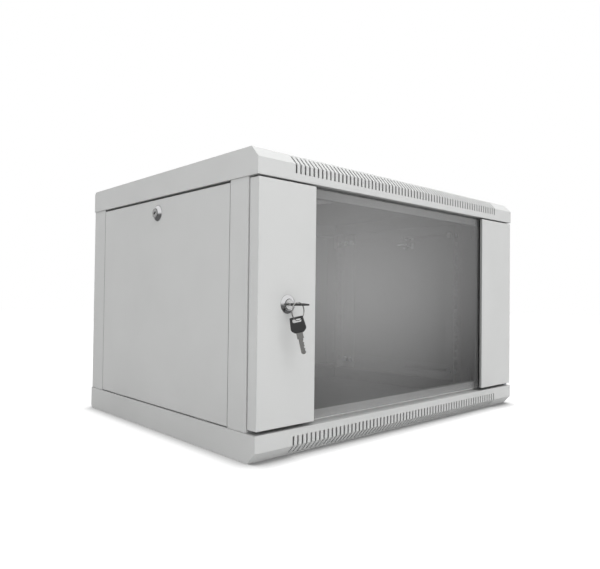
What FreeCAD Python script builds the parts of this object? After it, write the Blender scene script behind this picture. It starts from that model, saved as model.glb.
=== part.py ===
"""Wall mount network cabinet: folded steel covers and posts, a glazed door, side panels and rack rails.

Millimetres. X runs to the right, Y to the wall and Z up. The origin is the centre of the underside, so the
front of the covers is at -cabinet_depth/2 and the wall is at +cabinet_depth/2. Rest is the closed cabinet
with its locks undone and a key in the door.
"""
import FreeCAD, Part
import math
import os
import re
import Sketcher

SIZES = {
    # the whole cabinet
    "cabinet_width": 600, "cabinet_depth": 450, "cabinet_height": 368,
    # top and bottom covers, folded from one sheet each
    "cover_height": 34, "cover_sheet": 1.5, "chamfer_rise": 13.5, "chamfer_run": 12.5, "rear_bevel": 4,
    "front_lip": 36, "side_lip": 40, "rear_lip": 30,
    "vent_count": 65, "vent_pitch": 7.5, "vent_width": 2.6, "vent_start": 9.3, "vent_top_land": 2, "vent_depth": 10.8,
    # fan opening of the top cover
    "fan_radius": 52, "fan_slot": 5, "fan_slot_pitch": 11, "fan_bolt_pitch": 105, "fan_bolt_hole": 4.4,
    # cable entries, closed by plates
    "entry_width": 220, "entry_depth": 54, "entry_back": 72, "entry_overlap": 14, "plate_sheet": 1.5,
    "plate_screw": 5, "plate_screw_head": 9, "plate_screw_height": 3,
    # frame
    "frame_sheet": 1.5, "side_inset": 1.5, "front_post_depth": 36, "rear_post_depth": 38.5, "post_flange": 30,
    "top_beam_height": 12.5, "bottom_beam_height": 14, "beam_flange": 22, "beam_return": 8,
    "brace_lip": 14, "brace_leg": 30, "brace_gap": 1.5, "lip_share": 0.28, "brace_slot": 6.8, "brace_slot_drop": 20,
    # back panel and its holes for the wall
    "back_sheet": 1.5, "wall_hole": 10, "wall_hole_width": 400, "wall_hole_height": 220,
    # side panels
    "panel_sheet": 1.2, "panel_top_gap": 3, "panel_bottom_gap": 1.3, "panel_end_gap": 1,
    "tab_width": 30, "tab_length": 8, "tab_inset": 60, "tab_setback": 3.2, "tab_swing": 6, "tab_slot_end_gap": 0.4,
    "panel_lock_drop": 23,
    # door
    "door_thickness": 16.5, "door_gap": 2.5, "door_inset": 2, "door_top_gap": 2.5, "door_bottom_gap": 4.5,
    "door_sheet": 1.2, "lock_stile": 92, "hinge_stile": 100, "glass_recess": 4, "glass_channel": 10,
    "stile_flange": 13, "stile_liner_flange": 15, "stile_liner_back": 1,
    "glass_thickness": 5, "tape_thickness": 0.75, "glass_end_inset": 1.5, "glass_side_gap": 0.5,
    "bumper_size": 8, "bumper_inset": 7, "bumper_rise": 40, "touch_gap": 0.2,
    # hinge
    "hinge_inset": 7, "hinge_front": 8, "pin_size": 5, "bush_wall": 1, "bush_flange": 1.8, "bush_flange_height": 1,
    "bush_length": 5, "pin_grip": 5, "pin_length": 72, "pin_guide_rise": 17, "pin_collar_rise": 38,
    "pin_collar": 1, "pin_collar_height": 2, "pin_lever": 18, "spring_wire": 0.6, "spring_turns": 5,
    "running_gap": 0.3, "hinge_pin_tail": 4,
    # locks
    "lock_inset": 48, "lock_height": 184, "bezel_size": 23, "bezel_height": 3, "bezel_slope": 2, "barrel_size": 16, "plug_size": 13,
    "plug_reach": 4, "keyway_width": 6.2, "keyway_height": 2.4, "keyway_depth": 22, "barrel_back": 1.7,
    "clip_width": 26, "clip_reach": 13, "clip_sheet": 1.5, "cam_thickness": 2, "cam_width": 13, "cam_length": 34, "cam_screw": 9,
    "cam_screw_height": 2.2, "plug_tail": 7,
    "panel_bezel_height": 4.5, "cam_clearance": 0.5, "keyway_end": 3, "panel_cam_length": 19, "keyway_angle": 25,
    "panel_plug_reach": 1,
    # keys and their ring
    "key_head_width": 18.6, "key_head_end": 15.6, "key_head_length": 18.8, "key_head_thickness": 3.2,
    "key_corner": 4, "key_slot_length": 10.4, "key_slot_width": 4, "key_slot_margin": 2.5, "key_reach": 11.2,
    "key_blade": 2, "key_shank": 7.8, "key_shank_length": 7, "key_bit": 5.6, "key_blade_length": 25, "key_tang": 8,
    "key_tip": 1.6, "bit_pitch": 3.4, "bit_half": 1.4, "bit_floor": 0.4,
    "ring_size": 21, "ring_wire": 1.5, "ring_gap": 0.35, "ring_turn": 5.8,
    "spare_tilt": 13, "spare_turn": 47, "spare_side": 1.2,
    # rack rails
    "rack_opening": 450, "rack_hole_spacing": 465.1, "rack_hole": 9.5, "rack_unit": 44.45,
    "rail_sheet": 2, "rail_flange": 25, "rail_web": 32, "rail_end_gap": 2, "front_rail_setback": 75,
    "rear_rail_setback": 75, "rail_land": 26,
    "rail_bolt": 6, "rail_bolt_head": 10, "rail_bolt_head_height": 4, "rail_bolt_tail": 2, "rail_bolt_pitch": 16,
    "slide_gap": 0.2,
}

doc = FreeCAD.newDocument("NetworkCabinet")
dims = doc.addObject("Spreadsheet::Sheet", "Dims")
for row, (alias, value) in enumerate(SIZES.items(), start=1):
    dims.set(f"A{row}", alias)
    dims.set(f"B{row}", str(value))
    dims.setAlias(f"B{row}", alias)
doc.recompute()

LEFT, RIGHT = -1, 1
DOWN, UP = -1, 1

# Places that several pieces share, as formulas over the sheet's names.
FRONT = "-cabinet_depth/2"
BACK = "cabinet_depth/2"
BAY_FLOOR = "cover_height"
BAY_ROOF = "cabinet_height - cover_height"
DOOR_BACK = f"{FRONT} + door_thickness"
FRAME_FRONT = f"{DOOR_BACK} + door_gap"
FRAME_SIDE = "cabinet_width/2 - side_inset"
FRAME_BACK = f"{BACK} - back_sheet"
PANEL_FRONT = f"{FRAME_FRONT} + front_post_depth"
PANEL_BACK = f"{FRAME_BACK} - rear_post_depth"
BRACE_INNER = "rack_opening/2 + rail_flange + slide_gap"
BRACE_OUTER = f"{FRAME_SIDE} - lip_share*({FRAME_SIDE} - ({BRACE_INNER}))"
PANEL_RETURN = f"{FRAME_SIDE} - ({BRACE_OUTER}) - brace_gap"
PANEL_BARREL = f"({FRAME_SIDE} - ({BRACE_OUTER}) + frame_sheet + cam_clearance)"
DOOR_SIDE = "cabinet_width/2 - door_inset"
DOOR_FLOOR = f"{BAY_FLOOR} + door_bottom_gap"
DOOR_ROOF = f"{BAY_ROOF} - door_top_gap"
HINGE_X = "cabinet_width/2 - hinge_inset"
HINGE_Y = f"{FRONT} + hinge_front"
LOCK_X = "-cabinet_width/2 + lock_inset"
ENTRY_Y = f"{BACK} - entry_back"
PANEL_LOCK_Z = f"{BAY_ROOF} - panel_lock_drop"
PANEL_LOCK_Y = f"({PANEL_FRONT} + {PANEL_BACK})/2"

RAIL_TRAVEL = "(cabinet_depth - front_rail_setback - rear_rail_setback - 2*rail_web - rail_land)/2"

NORMALS = {"XY": 1, "XZ": -1, "YZ": 1}


def on_sheet(formula):
    """The formula with each of the sheet's names spelled as the document's expressions need it."""
    return re.sub(r"[a-z_]\w*", lambda word: f"Dims.{word[0]}" if word[0] in SIZES else word[0], str(formula))


def bind(feature, setting, formula):
    feature.setExpression(setting, on_sheet(formula))


def mirrored(hand, formula):
    """A place on the right or left of the middle plane."""
    return f"({hand})*({formula})"


def span(hand, near, far):
    """Start and end along X of what lies between two distances from the middle plane, on one side of it."""
    return (near, far) if hand == RIGHT else (f"-({far})", f"-({near})")


def new_body(label):
    body = doc.addObject("PartDesign::Body", label)
    body.Label = label
    body.AllowCompound = True
    return body


def origin_part(body, role):
    return next(part for part in body.Origin.OriginFeatures if part.Role == role)


def rectangle(left, right, low, high):
    return [(left, low), (right, low), (right, high), (left, high)]


def centred(x, y, width, height):
    return rectangle(f"{x} - ({width})/2", f"{x} + ({width})/2", f"{y} - ({height})/2", f"{y} + ({height})/2")


def hexagon(x, y, across):
    """A hexagon with the given width across its flats."""
    side = f"({across})/sqrt(3)"
    return [(f"{x} + {side}*cos({turn})", f"{y} + {side}*sin({turn})") for turn in range(0, 360, 60)]


def folded(start, runs, sheet, inside):
    """Outline of a sheet whose outer skin follows square runs from start, with its thickness on one side."""
    skin, headings = [start], []
    for axis, sign, length in runs:
        x, y = skin[-1]
        step = f" + ({sign})*({length})"
        skin.append((x + step, y) if axis == "x" else (x, y + step))
        headings.append((axis, sign))
    inner = []
    for corner, (x, y) in enumerate(skin):
        for axis, sign in headings[max(corner - 1, 0):corner + 1]:
            if axis == "x":
                y += f" + ({sign * inside})*{sheet}"
            else:
                x += f" + ({-sign * inside})*{sheet}"
        inner.append((x, y))
    return skin + inner[::-1]


def draw(body, plane, loops, level):
    """A sketch on one of the body's planes. A loop is a list of corners, or (x, y, diameter) for a circle."""
    sketch = body.newObject("Sketcher::SketchObject", "Section")
    sketch.AttachmentSupport = (origin_part(body, plane + "_Plane"), [""])
    sketch.MapMode = "FlatFace"
    bind(sketch, "AttachmentOffset.Base.z", f"({NORMALS[plane]})*({level})")
    geometry, rules, sizes = [], [], []

    def place(edge, point, x, y):
        for kind, formula in (("DistanceX", x), ("DistanceY", y)):
            sizes.append((len(rules), formula))
            rules.append(Sketcher.Constraint(kind, edge, point, 1.0))

    for loop in loops:
        first = len(geometry)
        if isinstance(loop, tuple):
            x, y, diameter = loop
            geometry.append(Part.Circle(FreeCAD.Vector(1, 1, 0), FreeCAD.Vector(0, 0, 1), 1))
            place(first, 3, x, y)
            sizes.append((len(rules), diameter))
            rules.append(Sketcher.Constraint("Diameter", first, 2.0))
            continue
        corners = len(loop)
        for corner, (x, y) in enumerate(loop):
            edge = first + corner
            geometry.append(Part.LineSegment(FreeCAD.Vector(corner, 0, 0), FreeCAD.Vector(corner + 1, 1, 0)))
            place(edge, 1, x, y)
            rules.append(Sketcher.Constraint("Coincident", edge, 2, first + (corner + 1) % corners, 1))
    sketch.addGeometry(geometry, False)
    sketch.addConstraint(rules)
    for rule, formula in sizes:
        bind(sketch, f"Constraints[{rule}]", formula)
    return sketch


def swept(body, kind, plane, loops, start, end):
    """Pad or Pocket between two places along the axis square to the plane."""
    feature = body.newObject("PartDesign::" + kind, kind)
    feature.Profile = draw(body, plane, loops, start)
    feature.Reversed = (kind == "Pad") == (NORMALS[plane] < 0)
    bind(feature, "Length", f"({end}) - ({start})")
    return feature


def pad(body, plane, loops, start, end):
    return swept(body, "Pad", plane, loops, start, end)


def cut(body, plane, loops, start, end):
    return swept(body, "Pocket", plane, loops, start, end)


def turned(body, plane, axis, section):
    """A revolved section, drawn in a plane that holds the axis."""
    feature = body.newObject("PartDesign::Revolution", "Turned")
    feature.Profile = draw(body, plane, [section], "0")
    feature.ReferenceAxis = (origin_part(body, axis + "_Axis"), [""])
    feature.Angle = 360
    return feature


def repeated(body, features, axis, count, pitch):
    pattern = body.newObject("PartDesign::LinearPattern", "Row")
    pattern.Originals = features if isinstance(features, list) else [features]
    pattern.Direction = (origin_part(body, axis + "_Axis"), [""])
    bind(pattern, "Length", f"(({count}) - 1)*({pitch})")
    bind(pattern, "Occurrences", count)
    body.Tip = pattern
    return pattern


def hollowed(body, block, opening, wall):
    """Shell a block to a wall, open on the faces whose centre lies furthest along the opening direction."""
    doc.recompute()
    reach = [face.CenterOfMass.dot(opening) for face in block.Shape.Faces]
    shell = body.newObject("PartDesign::Thickness", "Shell")
    shell.Base = (block, [f"Face{reach.index(max(reach)) + 1}"])
    shell.Mode, shell.Join, shell.Reversed = "Skin", "Intersection", True
    bind(shell, "Value", wall)
    return shell


def stand(body, x="0", y="0", z="0"):
    """Place a piece that is drawn about its own axis."""
    for axis, formula in zip("xyz", (x, y, z)):
        bind(body, f"Placement.Base.{axis}", formula)


# ---- covers ---------------------------------------------------------------------------------------------

def cover(label, edge, facing):
    """A folded tray: flat sides, chamfered front, and lips turned in around its open face."""
    def level(rise):
        return f"{edge} + ({facing})*({rise})"

    def between(near, far):
        return (level(near), level(far)) if facing == UP else (level(far), level(near))

    body = new_body(label)
    block = pad(body, "YZ", [[
        (FRONT, level("0")),
        (FRONT, level("cover_height - chamfer_rise")),
        (f"{FRONT} + chamfer_run", level("cover_height")),
        (f"{BACK} - rear_bevel", level("cover_height")),
        (BACK, level("cover_height - rear_bevel")),
        (BACK, level("0")),
    ]], "-cabinet_width/2", "cabinet_width/2")
    hollowed(body, block, FreeCAD.Vector(0, 0, -facing), "cover_sheet")
    lips_out = rectangle("-cabinet_width/2 + cover_sheet/2", "cabinet_width/2 - cover_sheet/2",
                         f"{FRONT} + cover_sheet/2", f"{BACK} - cover_sheet/2")
    lips_in = rectangle("-cabinet_width/2 + side_lip", "cabinet_width/2 - side_lip",
                        f"{FRONT} + front_lip", f"{BACK} - rear_lip")
    pad(body, "XY", [lips_out, lips_in], *between("0", "cover_sheet"))
    hinge_hole = "pin_size + 2*running_gap" if facing == UP else "pin_size"
    cut(body, "XY", [(HINGE_X, HINGE_Y, hinge_hole)], *between("-1", "cover_sheet + 1"))
    entry = centred("0", ENTRY_Y, "entry_width", "entry_depth")
    cut(body, "XY", [entry, *plate_screw_squares("plate_screw")], *between("cover_height - 2*cover_sheet", "cover_height + 1"))
    first_vent = "-(vent_count - 1)*vent_pitch/2"
    vent = cut(body, "YZ", [[
        (f"{FRONT} - 1", level("vent_start")),
        (f"{FRONT} + vent_depth", level("vent_start")),
        (f"{FRONT} + vent_depth", level("cover_height - vent_top_land")),
        (f"{FRONT} - 1", level("cover_height - vent_top_land")),
    ]], f"{first_vent} - vent_width/2", f"{first_vent} + vent_width/2")
    repeated(body, vent, "X", "vent_count", "vent_pitch")
    return body


def plate_screw_squares(width):
    """The square necks of the two screws at the ends of a cable entry plate, or the holes that they sit in."""
    reach = "(entry_width + entry_overlap)/2"
    return [centred(mirrored(hand, reach), ENTRY_Y, width, width) for hand in (LEFT, RIGHT)]


def fan_opening(body):
    """Slots that together fill a circle, with the four screw holes of a fan."""
    slots = []
    for step in range(-4, 5):
        y = f"({step})*fan_slot_pitch"
        slots.append(centred("0", y, f"2*sqrt(fan_radius^2 - ({y})^2)", "fan_slot"))
    screws = [(f"({x})*fan_bolt_pitch/2", f"({y})*fan_bolt_pitch/2", "fan_bolt_hole") for x in (-1, 1) for y in (-1, 1)]
    cut(body, "XY", slots + screws, "cabinet_height - 2*cover_sheet", "cabinet_height + 1")


top_cover = cover("top_cover", BAY_ROOF, UP)
fan_opening(top_cover)
bottom_cover = cover("bottom_cover", BAY_FLOOR, DOWN)
cut(bottom_cover, "XY", [
    rectangle(*span(hand, f"{FRAME_SIDE} - tab_setback - tab_swing", f"{FRAME_SIDE} - running_gap"),
              f"{y} - tab_width/2 - tab_slot_end_gap", f"{y} + tab_width/2 + tab_slot_end_gap")
    for hand in (LEFT, RIGHT) for y in (f"{PANEL_FRONT} + tab_inset", f"{PANEL_BACK} - tab_inset")
], "cover_height - cover_sheet - 1", "cover_height + 1")

for label, low, high in (("top_cable_plate", "cabinet_height - cover_sheet - plate_sheet", "cabinet_height - cover_sheet"),
                         ("bottom_cable_plate", "cover_sheet", "cover_sheet + plate_sheet")):
    plate = new_body(label)
    pad(plate, "XY", [centred("0", ENTRY_Y, "entry_width + 2*entry_overlap", "entry_depth + 2*entry_overlap"),
                      *plate_screw_squares("plate_screw")], low, high)

plate_screws = new_body("cable_plate_screws")
screw_heads = plate_screw_squares("plate_screw_head")
screw_shanks = plate_screw_squares("plate_screw - 2*touch_gap")
PLATE_TOP = "cover_sheet + plate_sheet"
PLATE_UNDER = f"cabinet_height - ({PLATE_TOP})"
pad(plate_screws, "XY", screw_heads, PLATE_TOP, f"{PLATE_TOP} + plate_screw_height")
pad(plate_screws, "XY", screw_shanks, "touch_gap", f"{PLATE_TOP} + plate_screw_height/2")
pad(plate_screws, "XY", screw_heads, f"{PLATE_UNDER} - plate_screw_height", PLATE_UNDER)
pad(plate_screws, "XY", screw_shanks, f"{PLATE_UNDER} - plate_screw_height/2", "cabinet_height - touch_gap")

# ---- frame ----------------------------------------------------------------------------------------------

def post(label, hand, face, depth, inward):
    """A channel-section corner post: a flange to the front or back, the outer side, and a flange to the panel."""
    body = new_body(label)
    start = (mirrored(hand, f"{FRAME_SIDE} - post_flange"), face)
    runs = [("x", hand, "post_flange"), ("y", inward, depth), ("x", -hand, "post_flange")]
    pad(body, "XY", [folded(start, runs, "frame_sheet", hand * inward)], BAY_FLOOR, BAY_ROOF)
    return body


for side, hand in (("left", LEFT), ("right", RIGHT)):
    post(f"front_{side}_post", hand, FRAME_FRONT, "front_post_depth", 1)
    post(f"rear_{side}_post", hand, FRAME_BACK, "rear_post_depth", -1)


def beam(label, edge, facing, height):
    """A channel between the front posts, welded under or on a cover's front lip."""
    body = new_body(label)
    runs = [("x", -1, "beam_flange"), ("y", -facing, height), ("x", 1, "beam_return")]
    section = folded((f"{FRAME_FRONT} + beam_flange", edge), runs, "frame_sheet", facing)
    pad(body, "YZ", [section], f"-({FRAME_SIDE} - post_flange)", f"{FRAME_SIDE} - post_flange")


beam("front_top_beam", BAY_ROOF, UP, "top_beam_height")
beam("front_bottom_beam", BAY_FLOOR, DOWN, "bottom_beam_height")


def brace(label, hand, edge, facing):
    """A channel from front post to rear post that carries the rack rails in two long slots."""
    body = new_body(label)
    start = (mirrored(hand, BRACE_OUTER), f"{edge} - ({facing})*brace_lip")
    width = f"{BRACE_OUTER} - ({BRACE_INNER})"
    runs = [("y", facing, "brace_lip"), ("x", -hand, width), ("y", -facing, "brace_leg")]
    pad(body, "XZ", [folded(start, runs, "frame_sheet", hand * facing)], PANEL_FRONT, PANEL_BACK)
    slot_z = f"{edge} - ({facing})*brace_slot_drop"
    near, far = span(hand, f"{BRACE_INNER} - 1", f"{BRACE_INNER} + frame_sheet + 1")
    margin = "rail_web/2 + rail_bolt_pitch/2 + brace_slot/2 + running_gap"
    nearest = "rail_web/2 - rail_bolt_pitch/2 - brace_slot/2 - running_gap"
    front_rail = f"{FRONT} + front_rail_setback"
    rear_rail = f"{BACK} - rear_rail_setback"
    cut(body, "YZ", [
        rectangle(f"{front_rail} + {nearest}", f"{front_rail} + {RAIL_TRAVEL} + {margin}",
                  f"{slot_z} - brace_slot/2", f"{slot_z} + brace_slot/2"),
    ], near, far)
    cut(body, "YZ", [
        rectangle(f"{rear_rail} - {RAIL_TRAVEL} - ({margin})", f"{rear_rail} - ({nearest})",
                  f"{slot_z} - brace_slot/2", f"{slot_z} + brace_slot/2"),
    ], near, far)


for side, hand in (("left", LEFT), ("right", RIGHT)):
    brace(f"upper_{side}_brace", hand, BAY_ROOF, UP)
    brace(f"lower_{side}_brace", hand, BAY_FLOOR, DOWN)

back_panel = new_body("back_panel")
wall_holes = [(f"({x})*wall_hole_width/2", f"cabinet_height/2 + ({z})*wall_hole_height/2", "wall_hole")
              for x in (-1, 1) for z in (-1, 1)]
pad(back_panel, "XZ", [rectangle(f"-({FRAME_SIDE})", FRAME_SIDE, BAY_FLOOR, BAY_ROOF), *wall_holes], FRAME_BACK, BACK)

# ---- door -----------------------------------------------------------------------------------------------

def stile(label, hand, width):
    """A folded side member of the door, with a channel for the glass and caps at both ends."""
    body = new_body(label)
    edge = f"{DOOR_SIDE} - ({width})"
    liner_depth = "door_thickness - glass_recess - glass_thickness - 2*tape_thickness"
    runs = [
        ("x", hand, "stile_flange"), ("y", -1, "door_thickness"), ("x", -hand, width), ("y", 1, "glass_recess"),
        ("x", hand, "glass_channel"), ("y", 1, "glass_thickness + 2*tape_thickness"),
        ("x", -hand, "glass_channel - stile_liner_back"), ("y", 1, liner_depth), ("x", hand, "stile_liner_flange"),
    ]
    start = (mirrored(hand, f"{DOOR_SIDE} - stile_flange"), DOOR_BACK)
    pad(body, "XY", [folded(start, runs, "door_sheet", -hand)], DOOR_FLOOR, DOOR_ROOF)
    cap = rectangle(*span(hand, f"{edge} + glass_channel + door_sheet/2", f"{DOOR_SIDE} - door_sheet/2"),
                    f"{FRONT} + door_sheet/2", DOOR_BACK)
    for low, high in ((DOOR_FLOOR, f"{DOOR_FLOOR} + door_sheet"), (f"{DOOR_ROOF} - door_sheet", DOOR_ROOF)):
        pad(body, "XY", [cap], low, high)
    return body


lock_stile = stile("door_left_stile", LEFT, "lock_stile")
barrel_hole = ("barrel_size + 2*touch_gap", "barrel_size + 2*touch_gap")
cut(lock_stile, "XZ", [centred(LOCK_X, "lock_height", *barrel_hole)], f"{FRONT} - 1", f"{FRONT} + door_sheet + 1")

hinge_stile = stile("door_right_stile", RIGHT, "hinge_stile")
guide = rectangle(f"{HINGE_X} - 3*pin_size", f"{DOOR_SIDE} - door_sheet/2", f"{FRONT} + door_sheet/2", DOOR_BACK)
guide_top = f"{DOOR_ROOF} - pin_collar_rise - pin_guide_rise"
pad(hinge_stile, "XY", [guide], f"{guide_top} - door_sheet", guide_top)
bush_bore = (HINGE_X, HINGE_Y, "pin_size + 2*bush_wall")
cut(hinge_stile, "XY", [bush_bore], f"{DOOR_FLOOR} - 1", f"{DOOR_FLOOR} + door_sheet + 1")
cut(hinge_stile, "XY", [bush_bore], f"{DOOR_ROOF} - door_sheet - 1", f"{DOOR_ROOF} + 1")
cut(hinge_stile, "XY", [(HINGE_X, HINGE_Y, "pin_size + 2*running_gap")], f"{guide_top} - door_sheet - 1", f"{guide_top} + 1")

GLASS_LEFT = f"-({DOOR_SIDE}) + lock_stile - glass_channel + glass_side_gap"
GLASS_RIGHT = f"{DOOR_SIDE} - hinge_stile + glass_channel - glass_side_gap"
GLASS_FRONT = f"{FRONT} + glass_recess + tape_thickness"
GLASS_FLOOR = f"{DOOR_FLOOR} + glass_end_inset"
GLASS_ROOF = f"{DOOR_ROOF} - glass_end_inset"

door_glass = doc.addObject("Part::Box", "door_glass")
door_glass.Label = "door_glass"
bind(door_glass, "Length", f"({GLASS_RIGHT}) - ({GLASS_LEFT})")
bind(door_glass, "Width", "glass_thickness")
bind(door_glass, "Height", f"({GLASS_ROOF}) - ({GLASS_FLOOR})")
stand(door_glass, GLASS_LEFT, GLASS_FRONT, GLASS_FLOOR)

tapes = new_body("door_glass_tapes")
tape_width = "glass_channel - glass_side_gap - stile_liner_back"
for front, back in ((f"{FRONT} + glass_recess", GLASS_FRONT),
                    (f"{GLASS_FRONT} + glass_thickness", f"{GLASS_FRONT} + glass_thickness + tape_thickness")):
    pad(tapes, "XY", [
        rectangle(GLASS_LEFT, f"{GLASS_LEFT} + {tape_width}", front, back),
        rectangle(f"{GLASS_RIGHT} - ({tape_width})", GLASS_RIGHT, front, back),
    ], GLASS_FLOOR, GLASS_ROOF)

bumpers = new_body("door_bumpers")
pad(bumpers, "XZ", [centred(f"-({DOOR_SIDE}) + bumper_inset", z, "bumper_size", "bumper_size")
                    for z in (f"{DOOR_FLOOR} + bumper_rise", f"{DOOR_ROOF} - bumper_rise")],
    DOOR_BACK, f"{FRAME_FRONT} - touch_gap")

# ---- hinge ----------------------------------------------------------------------------------------------

lower_pin = new_body("lower_hinge_pin")
turned(lower_pin, "XZ", "Z", [
    ("0", f"{BAY_FLOOR} - cover_sheet"),
    ("pin_size/2", f"{BAY_FLOOR} - cover_sheet"),
    ("pin_size/2", BAY_FLOOR),
    ("pin_size/2 + bush_flange", BAY_FLOOR),
    ("pin_size/2 + bush_flange", f"{DOOR_FLOOR} - bush_flange_height - touch_gap"),
    ("pin_size/2", f"{DOOR_FLOOR} - bush_flange_height - touch_gap"),
    ("pin_size/2", f"{DOOR_FLOOR} + bush_length + hinge_pin_tail"),
    ("0", f"{DOOR_FLOOR} + bush_length + hinge_pin_tail"),
])
stand(lower_pin, HINGE_X, HINGE_Y)

bushes = new_body("door_hinge_bushes")
bore, sleeve = "pin_size/2 + running_gap/2", "pin_size/2 + bush_wall - touch_gap/2"
turned(bushes, "XZ", "Z", [
    (bore, f"{DOOR_FLOOR} - bush_flange_height"),
    ("pin_size/2 + bush_flange", f"{DOOR_FLOOR} - bush_flange_height"),
    ("pin_size/2 + bush_flange", DOOR_FLOOR),
    (sleeve, DOOR_FLOOR),
    (sleeve, f"{DOOR_FLOOR} + bush_length"),
    (bore, f"{DOOR_FLOOR} + bush_length"),
])
turned(bushes, "XZ", "Z", [
    (bore, f"{DOOR_ROOF} + bush_flange_height"),
    (bore, f"{DOOR_ROOF} - bush_length"),
    (sleeve, f"{DOOR_ROOF} - bush_length"),
    (sleeve, DOOR_ROOF),
    ("pin_size/2 + bush_flange", DOOR_ROOF),
    ("pin_size/2 + bush_flange", f"{DOOR_ROOF} + bush_flange_height"),
])
stand(bushes, HINGE_X, HINGE_Y)

PIN_TOP = f"{BAY_ROOF} + cover_sheet + pin_grip"
PIN_FOOT = f"{PIN_TOP} - pin_length"
COLLAR = f"{DOOR_ROOF} - pin_collar_rise"
upper_pin = new_body("upper_hinge_pin")
turned(upper_pin, "XZ", "Z", [
    ("0", PIN_FOOT),
    ("pin_size/2", PIN_FOOT),
    ("pin_size/2", COLLAR),
    ("pin_size/2 + pin_collar", COLLAR),
    ("pin_size/2 + pin_collar", f"{COLLAR} + pin_collar_height"),
    ("pin_size/2", f"{COLLAR} + pin_collar_height"),
    ("pin_size/2", f"{PIN_TOP} - 1"),
    ("pin_size/2 - 1", PIN_TOP),
    ("0", PIN_TOP),
])
lever = rectangle("-pin_lever", "0", "-pin_size/2", "pin_size/2")
pad(upper_pin, "XY", [lever], PIN_FOOT, f"{PIN_FOOT} + pin_size/2")
stand(upper_pin, HINGE_X, HINGE_Y)

# ---- locks ----------------------------------------------------------------------------------------------

BARREL_BACK = f"{FRAME_FRONT} + barrel_back"
CAM_BACK = f"{BARREL_BACK} + cam_thickness"
plug_bore = "plug_size/2 + touch_gap"

lock_housing = new_body("door_lock_housing")
turned(lock_housing, "XY", "Y", [
    (plug_bore, f"{FRONT} - bezel_height"),
    ("bezel_size/2 - bezel_slope", f"{FRONT} - bezel_height"),
    ("bezel_size/2", FRONT),
    (plug_bore, FRONT),
])
pad(lock_housing, "XZ", [centred("0", "0", "barrel_size", "barrel_size"), ("0", "0", f"2*({plug_bore})")], FRONT, BARREL_BACK)
stand(lock_housing, LOCK_X, "0", "lock_height")

def clip_outline():
    """A sheet fork that is pushed over the square barrel and holds it against the sheet."""
    fit = "barrel_size/2 + touch_gap"
    return [("-clip_width/2", "-clip_reach"), (f"-({fit})", "-clip_reach"), (f"-({fit})", fit), (fit, fit),
            (fit, "-clip_reach"), ("clip_width/2", "-clip_reach"), ("clip_width/2", "clip_reach"),
            ("-clip_width/2", "clip_reach")]


lock_clip = new_body("door_lock_clip")
pad(lock_clip, "XZ", [clip_outline()], f"{FRONT} + door_sheet", f"{FRONT} + door_sheet + clip_sheet")
stand(lock_clip, LOCK_X, "0", "lock_height")

lock_plug = new_body("door_lock_plug")
turned(lock_plug, "XY", "Y", [
    ("0", f"{FRONT} - plug_reach"),
    ("plug_size/2", f"{FRONT} - plug_reach"),
    ("plug_size/2", BARREL_BACK),
    ("0", BARREL_BACK),
])
pad(lock_plug, "XZ", [centred("0", "0", "plug_tail", "plug_tail")], BARREL_BACK, CAM_BACK)
cut(lock_plug, "XZ", [centred("0", "0", "keyway_width", "keyway_height")],
    f"{FRONT} - plug_reach - 1", f"{FRONT} - plug_reach + keyway_depth")
stand(lock_plug, LOCK_X, "0", "lock_height")

def turned_keyway():
    """The keyway of a panel lock, which stands at an angle to its cam."""
    corners = []
    for x, y in rectangle("-keyway_width/2", "keyway_width/2", "-keyway_height/2", "keyway_height/2"):
        corners.append((f"({x})*cos(keyway_angle) + ({y})*sin(keyway_angle)",
                        f"({y})*cos(keyway_angle) - ({x})*sin(keyway_angle)"))
    return corners


lock_cam = new_body("door_lock_cam")
pad(lock_cam, "XZ", [
    [("-cam_width/2", "cam_width/2"), ("-cam_width/2", "-cam_length + 3"), ("-cam_width/2 + 3", "-cam_length"),
     ("cam_width/2 - 3", "-cam_length"), ("cam_width/2", "-cam_length + 3"), ("cam_width/2", "cam_width/2")],
    centred("0", "0", "plug_tail", "plug_tail"),
], BARREL_BACK, CAM_BACK)
stand(lock_cam, LOCK_X, "0", "lock_height")

cam_screw = new_body("door_cam_screw")
pad(cam_screw, "XZ", [hexagon("0", "0", "cam_screw")], CAM_BACK, f"{CAM_BACK} + cam_screw_height")
stand(cam_screw, LOCK_X, "0", "lock_height")

# ---- side panels and their locks ------------------------------------------------------------------------

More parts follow.
